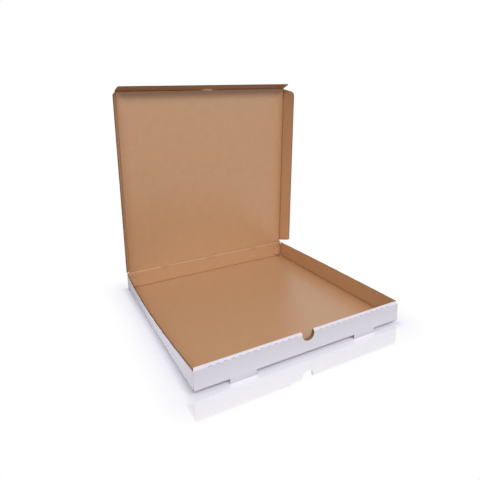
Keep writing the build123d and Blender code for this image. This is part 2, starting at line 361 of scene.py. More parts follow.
print("a wave every", FLUTE_PITCH, "mm, with", FLUTE_SAMPLES, "grid columns to each")

# %% Dies
DIE_BOTTOM = -5.0
DIE_TOP = 8.0
ROUND_PIECES = 10


def add_die(bm, corners, rounded=(), radius=0.0):
    """A prism on a flat outline, with some of its corners rounded."""
    others = set(bm.faces)
    verts = [bm.verts.new((x, y, DIE_BOTTOM)) for x, y in corners]
    bm.faces.new(verts)
    if rounded:
        bent = [verts[number] for number in rounded]
        bmesh.ops.bevel(
            bm, geom=bent, offset=radius, affect="VERTICES", segments=ROUND_PIECES, profile=0.5, material=-1
        )
    outline = [face for face in bm.faces if face not in others]
    raised = bmesh.ops.extrude_face_region(bm, geom=outline)
    top = [part for part in raised["geom"] if isinstance(part, bmesh.types.BMVert)]
    bmesh.ops.translate(bm, vec=(0, 0, DIE_TOP - DIE_BOTTOM), verts=top)
    bmesh.ops.recalc_face_normals(bm, faces=bm.faces[:])


print("dies reach from", DIE_BOTTOM, "to", DIE_TOP, "mm")

# %% The press
PRESS_SOLVER = "MANIFOLD"


def as_object(bm):
    """A passing object for a modifier to work on."""
    mesh = bpy.data.meshes.new("passing")
    bm.to_mesh(mesh)
    obj = bpy.data.objects.new("passing", mesh)
    bpy.context.scene.collection.objects.link(obj)
    return obj


def press(bm, die, operation):
    """The sheet after the die has cut it: DIFFERENCE punches out, INTERSECT keeps what is inside."""
    work, tool = as_object(bm), as_object(die)
    cut = work.modifiers.new("die", "BOOLEAN")
    cut.operation = operation
    cut.solver = PRESS_SOLVER
    cut.object = tool
    graph = bpy.context.evaluated_depsgraph_get()
    mesh = bpy.data.meshes.new_from_object(work.evaluated_get(graph))
    made = bmesh.new()
    made.from_mesh(mesh)
    for obj in (work, tool):
        bpy.data.meshes.remove(obj.data)
    bpy.data.meshes.remove(mesh)
    bm.free()
    return made


print("the press is a boolean with the solver", PRESS_SOLVER)

# %% [markdown]
# A sheet bends only where it has edges, so lines are cut across it at its creases while it is flat. At
# that moment each point's place is also written down as its UV map, and each face gets its paper.

# %% Lines, and places on the blank
CUT_SNAP = 1e-5
STEEP = 0.3
OUTER_FACE, INNER_FACE, CUT_FACE = range(3)


def cut_lines(bm, axis, stations):
    """Extra edges across the sheet, where it has to bend."""
    normal = Vector((axis == "X", axis == "Y", 0))
    for station in stations:
        geom = bm.verts[:] + bm.edges[:] + bm.faces[:]
        bmesh.ops.bisect_plane(bm, geom=geom, plane_co=normal * station, plane_no=normal, dist=CUT_SNAP)


def mark_blank(bm):
    """The UV map called blank, and each face's paper: outer face, inner face or cut edge."""
    layer = bm.loops.layers.uv.new("blank")
    bm.normal_update()
    for face in bm.faces:
        if abs(face.normal.z) < STEEP:
            face.material_index = CUT_FACE
        else:
            face.material_index = OUTER_FACE if face.normal.z < 0 else INNER_FACE
        for loop in face.loops:
            loop[layer].uv = (loop.vert.co.x * MM, loop.vert.co.y * MM)


print("papers by face: outer", OUTER_FACE, "inner", INNER_FACE, "cut edge", CUT_FACE)

# %% [markdown]
# ## Folds
# A fold is worked out along the sheet: straight up to the crease, round an arc, and straight on. Turning
# each panel by itself would tear the papers apart at the crease. The crease also crushes the card, so
# the papers come closer together there, which leaves the groove that shows as a dark line in the box.

# %% Folds
CRUSH = 0.88
CRUSH_REACH = 1.3
CRUSH_EASE = (0.6, 1.4, 3.0)
PINCH = 0.7
PINCH_REACH = 1.3
ARC_PIECES = 6


def folded(along, depth, creases):
    """Where a point of the flat strip goes: creases are (start, radius, turn) in order."""
    place, heading, at = Vector((0.0, 0.0)), 0.0, 0.0
    for start, radius, turn in creases:
        middle = start + radius * turn / 2
        depth *= 1 - CRUSH * exp(-(((along - middle) / CRUSH_REACH) ** 2))
        if along <= start:
            break
        bent = min(along - start, radius * turn)
        place += (start - at) * Vector((cos(heading), sin(heading)))
        centre = place + radius * Vector((-sin(heading), cos(heading)))
        heading += bent / radius
        place = centre - radius * Vector((-sin(heading), cos(heading)))
        at = start + bent
    place += (along - at) * Vector((cos(heading), sin(heading)))
    return place + depth * Vector((-sin(heading), cos(heading)))


def pinch(distance):
    """How much of the board's thickness is left near an edge that the die has crushed."""
    return 1 - PINCH * exp(-((distance / PINCH_REACH) ** 2))


def arc_stations(creases):
    """Where a sheet needs edges to go round its creases, and beside them to ease into the flat."""
    stations = []
    for start, radius, turn in creases:
        end = start + radius * turn
        stations += [start + radius * turn * number / ARC_PIECES for number in range(ARC_PIECES + 1)]
        stations += [start - ease for ease in CRUSH_EASE] + [end + ease for ease in CRUSH_EASE]
    return stations


print("a crease leaves", round((1 - CRUSH) * BOARD, 2), "mm of the board's", BOARD)

# %% [markdown]
# ## From sheets to a piece
# Each board becomes three pieces, one for each layer, because a layer has its own paper. One mesh for
# the whole board would also do, but then the layers couldn't be told apart later.

# %% Layers and pieces
LAYERS = {
    "white_liner": (OUTER_RIPPLE, LINER, OUTER_RIPPLE, "white_liner"),
    "fluting": (FLUTE_DEPTH, FLUTE_PAPER, FLUTE_SWING, "fluting"),
    "kraft_liner": (BOARD - LINER - INNER_RIPPLE, LINER, INNER_RIPPLE, "kraft_card"),
}
PAPERS = {
    "white_liner": [white, kraft, cut_edge_shade_paper],
    "fluting": [flute_paper_and_shade, flute_paper_and_shade, flute_paper_and_shade],
    "kraft_liner": [kraft, kraft, cut_edge_shade_paper],
}
SHARP = radians(35)


def finish_piece(name, sheets, papers, nodes=()):
    """One object from some sheets, in metres, smooth except at its sharp edges."""
    mesh = bpy.data.meshes.new(name)
    whole = bmesh.new()
    for bm in sheets:
        bm.to_mesh(mesh)
        whole.from_mesh(mesh)
        bm.free()
    bmesh.ops.scale(whole, vec=(MM, MM, MM), verts=whole.verts[:])
    whole.to_mesh(mesh)
    whole.free()
    for material in papers:
        mesh.materials.append(material)
    mesh.shade_smooth()
    mesh.set_sharp_from_angle(angle=SHARP)
    obj = bpy.data.objects.new(name, mesh)
    bpy.context.scene.collection.objects.link(obj)
    if nodes:
        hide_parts(*nodes)
    print(name, len(mesh.polygons), "faces")
    return obj


print("layers", {layer: slot for layer, (_, _, _, slot) in LAYERS.items()})

# %% [markdown]
# ## The tray's long strip
# Back wall, base, front wall and roll-over are one strip of the blank, and the flutes run along it. It
# could be modelled panel by panel, but folding a flat strip keeps the papers continuous, as they are on
# the real box. First the creases: one at the back, and three at the front, where the wall goes up, over
# a sloping top and down again inside.

# %% The long strip's creases
FOLD_RADIUS = 2.0
FRONT_HEIGHT = 27.8
ROLL_RADIUS = 1.7
ROLL_DEPTH = 5.4
ROLL_CORNER_HEIGHT = 30.8
INNER_PANEL_BOTTOM = 1.8
TAB_BOTTOM = 0.3

quarter = FOLD_RADIUS * pi / 2
base_end = HALF - FOLD_RADIUS
wall_start = base_end + quarter
slope = atan2(ROLL_CORNER_HEIGHT - FRONT_HEIGHT, ROLL_DEPTH)
first_turn = pi / 2 - slope
second_turn = pi / 2 + slope
first_tangent = ROLL_RADIUS * tan(first_turn / 2)
second_tangent = ROLL_RADIUS * tan(second_turn / 2)
perf_start = wall_start + FRONT_HEIGHT - first_tangent - FOLD_RADIUS
top_length = ROLL_DEPTH / cos(slope) - first_tangent - second_tangent
roll_start = perf_start + ROLL_RADIUS * first_turn + top_length
roll_end = roll_start + ROLL_RADIUS * second_turn
roll_end_height = ROLL_CORNER_HEIGHT - second_tangent
panel_end = roll_end + roll_end_height - INNER_PANEL_BOTTOM
tab_end = roll_end + roll_end_height - TAB_BOTTOM
front_creases = [
    (base_end, FOLD_RADIUS, pi / 2),
    (perf_start, ROLL_RADIUS, first_turn),
    (roll_start, ROLL_RADIUS, second_turn),
]
back_creases = [(base_end, FOLD_RADIUS, pi / 2)]
print("creases at", [round(start, 1) for start, _, _ in front_creases], "mm, end", round(tab_end, 1))

# %% [markdown]
# The cut-outs are pressed while the strip is flat, as on the real box. At the hinge, the crease's band
# is left to the crease piece, and three openings below it hold the tongues of the lid.

# %% The hinge's cut-out
HINGE_BAND = 3.0
TONGUE_PLACES = (-93.0, 0.0, 93.0)
TONGUE_HALF = 7.5
TONGUE_TIP_HALF = 5.5
TONGUE_DROP = 5.5
TONGUE_CLEARANCE = 0.3
LID_HALF = -Vector(joints["left_flap_fold"]["pos_m"]).x / MM


def wall_line(height):
    """How far along the strip a height on the front or back wall is."""
    return wall_start + height - FOLD_RADIUS


def opening_half(height):
    """Half the width of a tongue's opening at a height below the hinge."""
    share = (BACK_HEIGHT - height) / TONGUE_DROP
    return TONGUE_HALF - (TONGUE_HALF - TONGUE_TIP_HALF) * share + TONGUE_CLEARANCE


def hinge_corners():
    """What is cut from the back wall's top: the crease's band, with a dip at each tongue."""
    band = BACK_HEIGHT - HINGE_BAND
    dip = BACK_HEIGHT - TONGUE_DROP - TONGUE_CLEARANCE
    at_band, at_dip = opening_half(band), opening_half(dip)
    corners = [(-LID_HALF, BACK_HEIGHT + BOARD), (-LID_HALF, band)]
    for x in TONGUE_PLACES:
        corners += [(x - at_band, band), (x - at_dip, dip), (x + at_dip, dip), (x + at_band, band)]
    corners += [(LID_HALF, band), (LID_HALF, BACK_HEIGHT + BOARD)]
    return [(x, wall_line(height)) for x, height in corners]


print("hinge cut-out with", len(hinge_corners()), "corners")

# %% [markdown]
# The front wall has more of them: the two lock slots, the thumb notch that goes through both panels, the
# slanted ends of the roll-over, a row of perforation cuts along its first crease, and the gaps that
# leave two tabs at its end.

# %% Slots, notch and the roll-over's ends
FOOT_PLACES = (-97.0, 97.0)
FOOT_WIDTH = 37.0
SLOT_DEPTH = BOARD - FEET_BOTTOM
NOTCH_WIDTH = 19.0
NOTCH_BOTTOM = 16.9
ROLL_END_INSET = 3.0


def box_corners(left, right, low, high):
    """The four corners of a rectangle."""
    return [(left, low), (right, low), (right, high), (left, high)]


def slot_corners(x):
    """A lock slot in the base, at the front wall's crease."""
    return box_corners(x - FOOT_WIDTH / 2, x + FOOT_WIDTH / 2, -wall_start, -(HALF - SLOT_DEPTH))


def notch_corners():
    """The thumb notch, from the outer panel over the top to the inner panel."""
    notch_end = roll_end + roll_end_height - NOTCH_BOTTOM
    return box_corners(-NOTCH_WIDTH / 2, NOTCH_WIDTH / 2, -notch_end, -wall_line(NOTCH_BOTTOM))


def roll_end_corners(side):
    """What is cut off beside the roll-over, which ends a little inside the side walls."""
    edge, outside, beyond = HALF - ROLL_END_INSET, 2 * HALF, tab_end + BOARD
    ends = [(HALF, perf_start), (edge, roll_end), (edge, beyond), (outside, beyond), (outside, perf_start)]
    return [(side * x, -along) for x, along in ends]


print("lock slots", FOOT_WIDTH, "x", round(SLOT_DEPTH, 2), "mm, thumb notch", NOTCH_WIDTH, "mm wide")

# %% Perforation and tabs
PERF_PITCH = 10.0
PERF_LENGTH = 4.8
PERF_WIDTH = 0.45
TAB_CLEARANCE = 1.5


def perforations():
    """The cuts along the first crease of the roll-over, apart from those at the notch."""
    line = -(perf_start + ROLL_RADIUS * first_turn / 2)
    count = int((HALF - ROLL_END_INSET) / PERF_PITCH)
    places = [number * PERF_PITCH for number in range(-count + 1, count)]
    places = [x for x in places if abs(x) > NOTCH_WIDTH / 2 + PERF_LENGTH / 2]
    half, width = PERF_LENGTH / 2, PERF_WIDTH / 2
    return [box_corners(x - half, x + half, line - width, line + width) for x in places]


def tab_gaps():
    """What is cut off between and beside the two lock tabs."""
    reach = FOOT_WIDTH / 2 - TAB_CLEARANCE
    edges = [-2 * HALF]
    for x in FOOT_PLACES:
        edges += [x - reach, x + reach]
    edges.append(2 * HALF)
    spans = zip(edges[::2], edges[1::2])
    return [box_corners(left, right, -tab_end - BOARD, -panel_end) for left, right in spans]


print("perforation of", len(perforations()), "cuts,", len(tab_gaps()), "gaps at the tabs")

# %% [markdown]
# Dies that touch would have to be joined first, so they are shared out between two sets, and the strip
# goes through the press twice. Then it is folded, the front half towards -Y and the back half
# towards +Y.

# %% The long strip's dies
CORNER_PLAY = 0.2
CORNER_START = HALF - BOARD - CORNER_PLAY - FOLD_RADIUS
ROUND_MARGIN = 0.01


def long_strip_dies():
    """The two sets of dies for the long strip; those of one set don't touch each other."""
    first, second = bmesh.new(), bmesh.new()
    add_die(first, hinge_corners())
    for x in FOOT_PLACES:
        add_die(first, slot_corners(x))
    add_die(first, notch_corners(), rounded=range(4), radius=NOTCH_WIDTH / 2 - ROUND_MARGIN)
    for side in (-1, 1):
        add_die(first, roll_end_corners(side))
        left, right = sorted((side * base_end, side * 2 * HALF))
        add_die(second, box_corners(left, right, -CORNER_START, CORNER_START))
    for corners in perforations() + tab_gaps():
        add_die(second, corners)
    return first, second


print("side walls begin", round(CORNER_START, 2), "mm from the middle")

# %% The long strip
HINGE_MARGIN = 0.12


def fold_long_strip(bm):
    """Fold the flat strip, pinched at the ends of its walls."""
    for vert in bm.verts:
        x, along, depth = vert.co
        creases = front_creases if along < 0 else back_creases
        if abs(along) > CORNER_START:
            depth *= pinch(HALF - abs(x))
        place = folded(abs(along), depth, creases)
        vert.co = (x, place.x if along >= 0 else -place.x, place.y)


def long_strip(layer):
    """One paper of the long strip."""
    depth, thickness, swing, _ = LAYERS[layer]
    top = wall_line(BACK_HEIGHT - HINGE_MARGIN)
    bm = sheet((-HALF, -tab_end), (HALF, top), depth, thickness, swing)
    for die in long_strip_dies():
        bm = press(bm, die, "DIFFERENCE")
        die.free()
    cut_lines(bm, "Y", [-station for station in arc_stations(front_creases)])
    cut_lines(bm, "Y", arc_stations(back_creases))
    mark_blank(bm)
    fold_long_strip(bm)
    return bm


tray_sheets = {layer: [long_strip(layer)] for layer in LAYERS}
print("long strip", {layer: len(sheets[0].faces) for layer, sheets in tray_sheets.items()}, "faces")

# %% [markdown]
# ## The side walls and their corner flaps
# Each side wall goes on at both ends as a corner flap: the front one is held inside the front wall and
# the rear one lies against the back wall. Here the flutes run along the wall, so its top edge shows two
# papers with a slot between them. That edge is a little ragged, and it is drawn into the die. A noisy
# displacement would disturb the faces of the wall as well.

# %% Lines on a side wall
FRONT_CORNER_LENGTH = 62.0
REAR_CORNER_LENGTH = 18.5

corner_root = CORNER_START + quarter + BOARD


def height_line(height):
    """How far from the base's crease a height on a side wall is."""
    return quarter + height - FOLD_RADIUS


def corner_tip(length):
    """How far along the wall's strip a corner flap ends."""
    return CORNER_START + quarter + length - FOLD_RADIUS


tips = [corner_tip(length) for length in (FRONT_CORNER_LENGTH, REAR_CORNER_LENGTH)]
print("corner flaps end", [round(tip, 1) for tip in tips], "mm from the wall's middle")

# %% The side walls' outline
WALL_HEIGHT = {-1: 28.0, 1: 30.4}
CORNER_HEIGHT = 26.4
CORNER_FLAP_LIFT = 3.0
CORNER_FLAP_DROP = 4.0
CORNER_SLIT = 2.5
RAGGED_PIECES = 40
RAGGED_DEPTH = {-1: 1.1, 1: 0.4}
RAGGED_WAVES = (2.3, 0.71)


def side_outline(side):
    """The flat outline of a side wall with its two corner flaps: (height on the strip, along)."""
    flap_top = FRONT_HEIGHT - CORNER_FLAP_DROP
    rear, front = corner_tip(REAR_CORNER_LENGTH), -corner_tip(FRONT_CORNER_LENGTH)
    rear_half = [
        (0, CORNER_START),
        (height_line(CORNER_SLIT), CORNER_START),
        (height_line(CORNER_SLIT), corner_root),
        (height_line(CORNER_FLAP_LIFT), corner_root),
        (height_line(CORNER_FLAP_LIFT + CORNER_FLAP_DROP), rear),
        (height_line(flap_top - CORNER_FLAP_DROP), rear),
        (height_line(flap_top), corner_root),
        (height_line(CORNER_HEIGHT), corner_root),
        (height_line(CORNER_HEIGHT), CORNER_START),
        (height_line(WALL_HEIGHT[side]), CORNER_START),
    ]
    front_half = [(up, front if along == rear else -along) for up, along in reversed(rear_half)]
    ragged = []
    for number in range(1, RAGGED_PIECES):
        along = CORNER_START * (1 - 2 * number / RAGGED_PIECES)
        dip = RAGGED_DEPTH[side] * (sin(number * RAGGED_WAVES[0]) * sin(number * RAGGED_WAVES[1])) ** 2
        ragged.append((height_line(WALL_HEIGHT[side] - dip), along))
    return rear_half + ragged + front_half


print("side walls", list(WALL_HEIGHT.values()), "mm high,", len(side_outline(1)), "corners each")

# %% [markdown]
# The wall is folded twice, its corner flaps first and then the whole wall up. Card walls rarely stand
# straight: the left one has bowed outwards, and the right one a little. The bow grows with the height
# and fades towards the corners, which the front and back walls hold.

# %% Folding a side wall
BOW = {-1: 5.1, 1: 1.1}

corner_crease = [(CORNER_START, FOLD_RADIUS, pi / 2)]
side_crease = [(0.0, FOLD_RADIUS, pi / 2)]


def fold_side(bm, side):
    """Fold the corner flaps in, fold the wall up, and bow it."""
    for vert in bm.verts:
        up, along, depth = vert.co
        tip = corner_tip(REAR_CORNER_LENGTH if along > 0 else FRONT_CORNER_LENGTH)
        corner = folded(abs(along), depth * pinch(tip - abs(along)), corner_crease)
        wall = folded(up, corner.y, side_crease)
        y = corner.x if along >= 0 else -corner.x
        share = max(0.0, 1 - (y / CORNER_START) ** 2)
        x = base_end + wall.x + BOW[side] * share * max(0.0, wall.y) / WALL_HEIGHT[side]
        vert.co = (side * x, y, wall.y)
    if side < 0:
        bmesh.ops.reverse_faces(bm, faces=bm.faces[:])


print("walls bow by", list(BOW.values()), "mm")

# %% The side walls
BOW_PIECES = 16
CORNER_FLAP_ROUND = 3.0
CORNER_FLAP_TIPS = (4, 5, -6, -5)


def side_wall(layer, side):
    """One paper of a side wall. The corner flaps' edges are crushed shut, so their cut faces get no painted
    edge shade.
    """
    depth, thickness, swing, _ = LAYERS[layer]
    low = (0.0, -corner_tip(FRONT_CORNER_LENGTH) - BOARD)
    high = (height_line(WALL_HEIGHT[side]) + BOARD, corner_tip(REAR_CORNER_LENGTH) + BOARD)
    die = bmesh.new()
    add_die(die, side_outline(side), rounded=CORNER_FLAP_TIPS, radius=CORNER_FLAP_ROUND)
    bm = press(sheet(low, high, depth, thickness, swing), die, "INTERSECT")
    die.free()
    cut_lines(bm, "X", arc_stations(side_crease))
    arcs = arc_stations(corner_crease)
    bends = [CORNER_START * (2 * number / BOW_PIECES - 1) for number in range(1, BOW_PIECES)]
    bends += [corner_tip(REAR_CORNER_LENGTH) - ease for ease in CRUSH_EASE]
    cut_lines(bm, "Y", arcs + [-station for station in arcs] + bends)
    mark_blank(bm)
    # On the corner flaps the cut faces take the liners' paper, so they carry no painted edge shade.
    for face in bm.faces:
        if abs(face.calc_center_median().y) > CORNER_START:
            face.material_index = min(face.material_index, INNER_FACE)
    fold_side(bm, side)
    return bm


for layer, sheets in tray_sheets.items():
    sheets += [side_wall(layer, side) for side in (-1, 1)]
print("side walls", {layer: len(sheets[1].faces) for layer, sheets in tray_sheets.items()}, "faces")

# %% [markdown]
# ## The feet
# The lock slots are cut on three sides only. The fourth side stays in the front wall, so the cut piece
# swings down with the wall and becomes a foot. It could be folded with the strip, but its crease is
# straight, so a flat sheet that is turned upright in the wall's plane gives the same.

# %% The feet
FOOT_CORNER = 1.5
SHEET_MARGIN = 1.0


def foot(layer, x):
    """One paper of a foot, in the front wall's plane."""
    depth, thickness, swing, _ = LAYERS[layer]
    left, right = x - FOOT_WIDTH / 2, x + FOOT_WIDTH / 2
    low = (left - SHEET_MARGIN, -FOLD_RADIUS)
    high = (right + SHEET_MARGIN, -FEET_BOTTOM + SHEET_MARGIN)
    die = bmesh.new()
    outline = box_corners(left, right, -FOLD_RADIUS - SHEET_MARGIN, -FEET_BOTTOM)
    add_die(die, outline, rounded=(2, 3), radius=FOOT_CORNER)
    bm = press(sheet(low, high, depth, thickness, swing), die, "INTERSECT")
    die.free()
    mark_blank(bm)
    upright = Matrix.Rotation(-pi / 2, 3, "X")
    bmesh.ops.rotate(bm, cent=(0, 0, 0), matrix=upright, verts=bm.verts[:])
    bmesh.ops.translate(bm, vec=(0, -HALF, 0), verts=bm.verts[:])
    return bm


for layer, sheets in tray_sheets.items():
    sheets += [foot(layer, x) for x in FOOT_PLACES]
print("feet", len(FOOT_PLACES), "reaching down to", round(FEET_BOTTOM, 2), "mm")

# %% [markdown]
# ## The tray
# The strip, the walls and the feet of one layer are one piece, as they are one paper on the real box.
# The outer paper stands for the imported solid, and all three ride the tray.

# %% The tray
for layer, sheets in tray_sheets.items():
    nodes = ("tray",) if layer == "white_liner" else ()
    piece = finish_piece("tray_" + layer, sheets, PAPERS[layer], nodes)
    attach(piece, "tray")

# %% [markdown]
# ## The lid and its flaps
# These four boards are flat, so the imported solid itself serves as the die: each paper is a sheet in the
# board's own plane, and the press keeps what lies inside the solid. Drawing the outlines again would
# repeat sizes that the solid already holds. First, each board gets a plane of its own.

# %% The flat boards' planes
FRONT_FOLD = radians(73)
SIDE_FOLD = {-1: radians(72), 1: radians(79)}

front_fold_place = Vector(joints["front_flap_fold"]["pos_m"]) / MM
LID_LENGTH = (front_fold_place - hinge_place).length
lid_across = Vector((1, 0, 0))
lid_up = (front_fold_place - hinge_place).normalized()
lid_inward = lid_across.cross(lid_up)
lean = atan2(-lid_up.y, lid_up.z)


def plane_matrix(origin, across, along, inward):
    """A board's own frame: X across the flutes, Y along them, Z from the white face inwards."""
    turn = Matrix((across, along, inward)).transposed().to_4x4()
    return Matrix.Translation(origin) @ turn


def front_flap_plane():
    """The front flap's frame, with Y away from the lid."""
    along = lid_up * cos(FRONT_FOLD) + lid_inward * sin(FRONT_FOLD)
    inward = lid_inward * cos(FRONT_FOLD) - lid_up * sin(FRONT_FOLD)
    return plane_matrix(front_fold_place, lid_across, along, inward)


def side_flap_plane(side):
    """A side flap's frame, with X away from the box's middle as on the blank."""
    fold = SIDE_FOLD[side]
    out = lid_across * cos(fold) + lid_inward * side * sin(fold)
    inward = lid_inward * cos(fold) - lid_across * side * sin(fold)
    return plane_matrix(hinge_place + lid_across * side * LID_HALF, out, lid_up, inward)


print("lid leans", round(degrees(lean), 2), "degrees, length", round(LID_LENGTH, 2), "mm")

# %% [markdown]
# A band along each moving crease is left out of both its boards, because the crease piece fills it. At
# the hinge the band stops at the tongues, and at the front it stops at the thumb tab, which are cut free
# from the crease.

# %% The lid's crease bands
LID_BAND = 3.0
FRONT_BAND = 2.2
THUMB_HALF = 11.0
SIDE_FLAP_REAR = 4.6
SIDE_FLAP_FRONT = {-1: 2.2, 1: 2.6}


def lid_bands():
    """The bands along the lid's four creases."""
    bands = bmesh.new()
    edges = [-HALF]
    for x in TONGUE_PLACES:
        edges += [x - TONGUE_HALF, x + TONGUE_HALF]
    edges.append(HALF)
    for left, right in zip(edges[::2], edges[1::2]):
        add_die(bands, box_corners(left, right, -BOARD, LID_BAND))
    for side in (-1, 1):
        left, right = sorted((side * (LID_HALF - LID_BAND), side * HALF))
        add_die(bands, box_corners(left, right, SIDE_FLAP_REAR, LID_LENGTH - SIDE_FLAP_FRONT[side]))
        left, right = sorted((side * THUMB_HALF, side * HALF))
        add_die(bands, box_corners(left, right, LID_LENGTH - FRONT_BAND, LID_LENGTH + BOARD))
    return bands


print("lid's bands", LID_BAND, "mm wide, and", FRONT_BAND, "at the front")

# %% The flaps' crease bands
FLAP_BAND = 4.5
BAND_BEHIND = 5.0


def front_flap_band():
    """The band along the front flap's crease."""
    band = bmesh.new()
    add_die(band, box_corners(-2 * HALF, 2 * HALF, -BAND_BEHIND, FLAP_BAND))
    return band


def side_flap_band(side):
    """The band along a side flap's crease."""
    band = bmesh.new()
    left, right = sorted((-side * BAND_BEHIND, side * FLAP_BAND))
    add_die(band, box_corners(left, right, -2 * HALF, 3 * HALF))
    return band


boards = {
    "lid": (plane_matrix(hinge_place, lid_across, lid_up, lid_inward), lid_bands()),
    "lid_front_flap": (front_flap_plane(), front_flap_band()),
    "lid_left_flap": (side_flap_plane(-1), side_flap_band(-1)),
    "lid_right_flap": (side_flap_plane(1), side_flap_band(1)),
}
print("flat boards", list(boards))

# %% [markdown]
# Now the press keeps the part of each waved sheet that lies inside the solid. The solid is copied and
# its loose triangles are joined first, because a boolean needs a closed shape.

# %% The flat boards' papers
JOIN_DISTANCE = 1e-6


def board_die(node, plane):
    """A copy of a board's solid in its own plane, in millimetres, its triangles joined."""
    bm = bmesh.new()
    bm.from_mesh(frame["nodes"][node].data)
    bmesh.ops.remove_doubles(bm, verts=bm.verts[:], dist=JOIN_DISTANCE)
    bmesh.ops.scale(bm, vec=(1 / MM, 1 / MM, 1 / MM), verts=bm.verts[:])
    bmesh.ops.transform(bm, matrix=plane.inverted(), verts=bm.verts[:])
    return bm


def board_paper(node, plane, bands, layer):
    """One paper of a flat board: the waved sheet inside the board's solid, less the crease bands."""
    depth, thickness, swing, _ = LAYERS[layer]
    die = board_die(node, plane)
    corners = [vert.co for vert in die.verts]
    low = [min(co[axis] for co in corners) - SHEET_MARGIN for axis in range(2)]
    high = [max(co[axis] for co in corners) + SHEET_MARGIN for axis in range(2)]
    bm = press(sheet(low, high, depth, thickness, swing), die, "INTERSECT")
    die.free()
    bm = press(bm, bands, "DIFFERENCE")
    mark_blank(bm)
    bmesh.ops.transform(bm, matrix=plane, verts=bm.verts[:])
    return bm


for node, (plane, bands) in boards.items():
    for layer in LAYERS:
        sheets = [board_paper(node, plane, bands, layer)]
        nodes = (node,) if layer == "white_liner" else ()
        piece = finish_piece(node + "_" + layer, sheets, PAPERS[layer], nodes)
        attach(piece, node)
    bands.free()

# %% [markdown]
# ## The creases
# A crease is card crushed along a line. Outside, the white paper runs straight across it; inside, the
# card dips to a valley where hardly more than the white paper is left. Two boards that simply meet would
# gape when they turn. So each crease is one piece between its two boards: a cut through the crease,
# drawn out along it.

# %% The shape of a crease
VALLEY = 0.35


def crease_section(fold, groove, reach, valley_depth):
    """The cut through a crease: Y from the board before it to the board after it, Z inwards."""
    before = [(-reach[0], 0), (-reach[0], BOARD), (-groove[0], BOARD)]
    after = [(groove[1], BOARD), (reach[1], BOARD), (reach[1], 0)]
    turn = Matrix.Rotation(fold, 2)
    valley = Matrix.Rotation(fold / 2, 2) @ Vector((0, valley_depth))
    section = [Vector(point) for point in before] + [valley]
    return section + [turn @ Vector(point) for point in after] + [Vector((0, 0))]


def draw_crease(section, slant_reach, runs):
    """The cut drawn out along X over each run, which is (start, end, start slant, end slant). A slant
    moves an end by so much for each mm that a point reaches away from the crease."""
    bm = bmesh.new()
    for start, end, start_slant, end_slant in runs:
        places = [(start + start_slant * far, y, z) for far, (y, z) in zip(slant_reach, section)]
        ring = bm.faces.new([bm.verts.new(place) for place in places])
        drawn = bmesh.ops.extrude_face_region(bm, geom=[ring])
        for vert in [part for part in drawn["geom"] if isinstance(part, bmesh.types.BMVert)]:
            misses = [(point - vert.co.yz).length for point in section]
            vert.co.x = end + end_slant * slant_reach[misses.index(min(misses))]
    bmesh.ops.recalc_face_normals(bm, faces=bm.faces[:])
    return bm


print("a flap's crease leaves", VALLEY, "mm of card in its valley")

# %% The crease's soft groove
CREASE_SOFTNESS = 0.45
SOFT_PIECES = 3
GROOVE_POINTS = (2, 3, 4)
LENGTHWISE = 0.9
SAME_PLACE = 1e-4


def soften_groove(bm, section):
    """Round the groove's two edges and its valley."""
    groove = [section[number] for number in GROOVE_POINTS]
    lines = []
    for edge in bm.edges:
        start, end = (vert.co for vert in edge.verts)
        lengthwise = abs((start - end).normalized().x) > LENGTHWISE
        if lengthwise and any((start.yz - point).length < SAME_PLACE for point in groove):
            lines.append(edge)
    bmesh.ops.bevel(
        bm, geom=lines, offset=CREASE_SOFTNESS, affect="EDGES", segments=SOFT_PIECES, profile=0.5, material=-1
    )


print("groove rounded by", CREASE_SOFTNESS, "mm")

# %% [markdown]
# The crease gets white paper on its two outer faces and brown paper on the rest, and a place on the
# blank like every sheet.

# %% Making a crease
FACING = 0.98


def mark_crease(bm, fold):
    """The UV map called blank, and each face's paper."""
    layer = bm.loops.layers.uv.new("blank")
    bm.normal_update()
    outwards = (Vector((0, 0, -1)), Vector((0, sin(fold), -cos(fold))))
    for face in bm.faces:
        outer = max(face.normal.dot(direction) for direction in outwards) > FACING
        face.material_index = OUTER_FACE if outer else INNER_FACE
        for loop in face.loops:
            x, y, z = loop.vert.co
            loop[layer].uv = (x * MM, (y + z) * MM)


def crease(name, plane, fold, runs, groove, reach, valley_depth=VALLEY, slanted="after"):
    """A crushed crease between two bodies. Its ends slant on the side of the board before or after it."""
    section = crease_section(fold, groove, reach, valley_depth)
    if slanted == "after":
        slant_reach = [0, 0, 0, 0, groove[1], reach[1], reach[1], 0]
    else:
        slant_reach = [reach[0], reach[0], groove[0], 0, 0, 0, 0, 0]
    bm = draw_crease(section, slant_reach, runs)
    soften_groove(bm, section)
    mark_crease(bm, fold)
    bmesh.ops.transform(bm, matrix=plane, verts=bm.verts[:])
    piece = finish_piece(name, [bm], [white, kraft])
    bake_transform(piece)


# %% [markdown]
# The hinge is creased between the tongues only, so it is drawn in four runs, whose ends slant along the
# tongues' openings in the back wall. Its valley is shallow, because the lid stands nearly straight on
# the back wall.

# %% The hinge crease
HINGE_GROOVE = (1.25, 1.3)
HINGE_VALLEY = 0.95
TONGUE_SLIT = 0.1
TONGUE_SLANT = (TONGUE_HALF - TONGUE_TIP_HALF) / TONGUE_DROP

